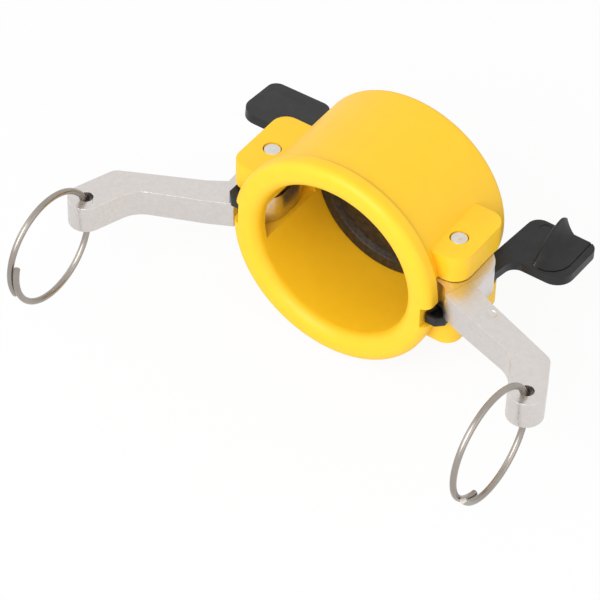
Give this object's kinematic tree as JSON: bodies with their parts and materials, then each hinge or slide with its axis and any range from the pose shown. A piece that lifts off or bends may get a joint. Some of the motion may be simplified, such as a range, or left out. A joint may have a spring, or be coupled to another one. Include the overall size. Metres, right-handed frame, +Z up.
{
  "type": "camlock_dust_cap",
  "caption": "Cup-shaped cap that closes a two-inch cam-and-groove adapter, with two cam arms, split pull rings and flexing lock levers. Drawn with its arms open.",
  "frame": {"origin": "centre of the closed end's outer face, on the cup's axis", "axes": "+Y out of the closed end and -Y out of the mouth; +X to the right-hand ears and arm; +Z up, along the arms' pins"},
  "size_m": [0.1962, 0.1359, 0.0846],
  "materials": {
    "cap_yellow": "moulded nylon, satin",
    "seal_rubber": "smooth, dull",
    "arm_aluminium": "tumbled, satin",
    "pin_steel": "turned",
    "lock_black": "moulded, satin",
    "ring_steel": "drawn wire, bright"
  },
  "bodies": {
    "cap": {"cap_body": "cap_yellow", "seal_disc": "seal_rubber", "right_pivot_pin": "pin_steel", "left_pivot_pin": "pin_steel", "right_lock_lever": "lock_black", "left_lock_lever": "lock_black"},
    "right_arm": {"right_cam_arm": "arm_aluminium"},
    "left_arm": {"left_cam_arm": "arm_aluminium"},
    "right_ring": {"right_pull_ring": "ring_steel"},
    "left_ring": {"left_pull_ring": "ring_steel"},
    "right_tab": {"right_lock_tab": "lock_black"},
    "left_tab": {"left_lock_tab": "lock_black"}
  },
  "joints": [
    {"name": "right_arm_hinge", "type": "hinge", "parent": "cap", "child": "right_arm", "pos_m": [0.03986, -0.03341, 0], "axis": [0, 0, 1], "range_deg": [-6, 110], "deforming": ["right_lock_tab"]},
    {"name": "left_arm_hinge", "type": "hinge", "parent": "cap", "child": "left_arm", "pos_m": [-0.03986, -0.03341, 0], "axis": [0, 0, -1], "range_deg": [0, 116.3], "deforming": ["left_lock_tab"]},
    {"name": "right_ring_swing", "type": "hinge", "parent": "right_arm", "child": "right_ring", "pos_m": [0.09367, -0.07385, 0.00245], "axis": [0, 0, 1], "range_deg": [-55, 100]},
    {"name": "left_ring_swing", "type": "hinge", "parent": "left_arm", "child": "left_ring", "pos_m": [-0.08891, -0.07951, -0.00245], "axis": [0, 0, -1], "range_deg": [-55, 100]},
    {"name": "right_lock_flex", "type": "hinge", "parent": "cap", "child": "right_tab", "pos_m": [0.0455, -0.01455, -0.0071], "axis": [-1, 0, 0], "range_deg": [0, 24], "stiffness_Nm_per_rad": 0.05},
    {"name": "left_lock_flex", "type": "hinge", "parent": "cap", "child": "left_tab", "pos_m": [-0.0455, -0.01455, 0.0071], "axis": [1, 0, 0], "range_deg": [0, 31], "stiffness_Nm_per_rad": 0.05}
  ]
}
